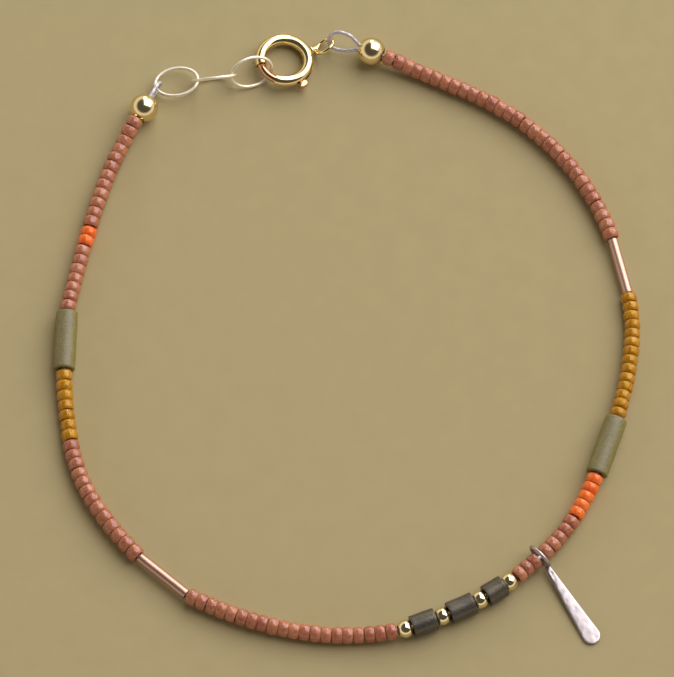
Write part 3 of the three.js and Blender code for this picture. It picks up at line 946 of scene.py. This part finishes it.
def thumb_tab():
    """A small pad with a rounded outer end and softened edges."""
    count, layers = STEPS["tab"], len(TAB_LAYERS)
    wide, high = BOLT["tab_width"] / 2, BOLT["tab_height"] / 2
    start, end = BOLT["tab_start"], BOLT["tab_end"]
    middle, long = (start + end) / 2, (end - start) / 2
    outline = []
    for i in range(count):
        c, s = cos(2 * pi * i / count), sin(2 * pi * i / count)
        power = 2 / TAB_SQUARE["outer" if c > 0 else "inner"]
        outline.append((long * signed_power(c, power), wide * signed_power(s, power)))
    points = []
    for level, share in TAB_LAYERS:
        points += [(middle + x * share, y * share, level * high) for x, y in outline]
    faces = [first_cap(count), *strips(layers, count), last_cap(layers, count)]
    points = np.array(points)
    return points, outward(points, faces)


# ---- drop ---------------------------------------------------------------------------------

def paddle():
    """The hammered paddle, widening from its neck to a rounded end."""
    length, end, neck = DROP["length"], DROP["end"] / 2, DROP["neck"] / 2
    straight = length - end
    rounding, around, spread = STEPS["paddle_end"], SIDES["paddle"], HAMMER["spread"]
    marks = random.Random(7)
    dents = [(marks.uniform(HAMMER["start"], length), marks.uniform(-end, end),
              marks.uniform(*HAMMER["reach"]), marks.uniform(*HAMMER["depth"]))
             for _ in range(HAMMER["marks"])] + PITS
    stations = list(np.linspace(0, straight, STEPS["paddle"]))
    stations += [straight + end * sin((pi / 2) * i / rounding) for i in range(1, rounding)]
    points = []
    for x in stations:
        past = x - straight
        thick = DROP["thickness"] / 2 * (DROP["neck_thicker"] - DROP["thins_by"] * x / length)
        if past > 0:
            wide = sqrt(max(end * end - past * past, 0))
            rim = DROP["rim"]
            thick *= min(1.0, rim + (1 - rim) * wide / (DROP["rim_reach"] * end))
        else:
            wide = neck + (end - neck) * x / straight
        for k in range(around):
            angle = 2 * pi * (k + 0.5) / around
            y = wide * signed_power(cos(angle), DROP["side_power"])
            z = thick * signed_power(sin(angle), DROP["face_power"])
            for along, across, reach, depth in dents:
                away = hypot(x - along, y - across) / reach
                if away < spread and z > 0:
                    z -= depth * (1 - (away / spread) ** 2) ** 2
            points.append((x, y, z))
    n = len(stations)
    points.append((length, 0.0, 0.0))
    tip, last = n * around, last_cap(n, around)
    faces = [first_cap(around), *strips(n, around)]
    faces += [(one, other, tip) for one, other in zip(last, last[1:] + last[:1])]
    points = np.array(points)
    return points, outward(points, faces)


def add_drop():
    """The paddle and the round ring it is soldered to, as one piece."""
    flat, flat_faces = paddle()
    fall = np.degrees(asin((DROP["top"] - DROP["tip"]) / DROP["length"]))
    flat = spin(spin(flat, "Y", fall), "Z", DROP["paddle_heading"] - DROP["ring_heading"])
    flat = flat + (DROP["start"], 0, DROP["top"] - DROP["at"][2])
    ring, ring_faces = tube_along(ellipse(DROP["ring"], DROP["ring"], STEPS["drop_ring"]),
                                  DROP["wire"], SIDES["drop_ring"], closed=True)
    ring = spin(ring, "X", 90 + DROP["lean"])
    flat, ring = (spin(part, "Z", DROP["ring_heading"]) + DROP["at"] for part in (flat, ring))
    piece("hammered_drop", Shape().add(flat, flat_faces), "drop", "paddle_drop",
          joined=[Shape().add(ring, ring_faces, paler=PALER["drop_ring"])])


# ---- floor, light and camera --------------------------------------------------------------

def to_metres(point):
    """A place in the tables' millimetres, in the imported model's frame."""
    return (np.array(point, float) + SHIFT) * MM


def aim(thing, target):
    """Turns a light or a camera to face a place."""
    away = Vector(thing.location) - Vector(target)
    thing.rotation_euler = away.to_track_quat("Z", "Y").to_euler()


def add_floor():
    """A square of plain surface, far wider than the view."""
    half = FLOOR_HALF
    floor = bpy.data.meshes.new("floor")
    floor.from_pydata([(-half, -half, 0), (half, -half, 0), (half, half, 0), (-half, half, 0)],
                      [], [(0, 1, 2, 3)])
    floor.materials.append(floor_finish())
    ground = bpy.data.objects.new("floor", floor)
    bpy.context.collection.objects.link(ground)


def add_light(name, away, distance, size, watts, roll):
    """A soft square-cornered light, shining on the middle of the floor."""
    lamp = bpy.data.lights.new(name, "AREA")
    lamp.shape = "RECTANGLE"
    lamp.size, lamp.size_y = size
    lamp.energy = watts
    lamp.color = LIGHT_TINT
    thing = bpy.data.objects.new(name, lamp)
    bpy.context.collection.objects.link(thing)
    thing.location = np.array(away) / np.linalg.norm(away) * distance
    aim(thing, (0, 0, 0))
    thing.rotation_euler.rotate_axis("Z", radians(roll))


def add_room():
    """Light walls all round, under a darker ceiling."""
    world = bpy.data.worlds.new("soft_room")
    bpy.context.scene.world = world
    world.use_nodes = True
    made = Nodes(world.node_tree)
    where = made.node("ShaderNodeTexCoord").outputs["Generated"]
    upward = made.node("ShaderNodeVectorMath", {"operation": "DOT_PRODUCT"},
                       {0: where, 1: ROOM["up"]}).outputs["Value"]
    shade = made.node("ShaderNodeValToRGB", {"stops": [ROOM["walls"], ROOM["ceiling"]]},
                      {"Fac": upward}).outputs["Color"]
    background = world.node_tree.nodes["Background"]
    made.plug(background.inputs["Color"], shade)
    made.plug(background.inputs["Strength"], 1.0)


def add_camera():
    """A long lens, looking down from in front at the middle of the bracelet."""
    lens = bpy.data.cameras.new("camera")
    lens.sensor_width, lens.lens = CAMERA["sensor"], CAMERA["lens"]
    lens.clip_start, lens.clip_end = CAMERA["near"], CAMERA["far"]
    camera = bpy.data.objects.new("camera", lens)
    bpy.context.collection.objects.link(camera)
    camera.location = to_metres(CAMERA["at_mm"])
    aim(camera, to_metres((0, 0, 0)))
    bpy.context.scene.camera = camera
    bpy.context.scene.view_settings.view_transform = "Standard"


add_strand()
add_wire()
add_end("left", 0)
add_end("right", thread.total)
add_links()
add_spring_ring()
add_drop()
add_floor()
for light, row in LIGHTS.items():
    add_light(light, **row)
add_room()
add_camera()
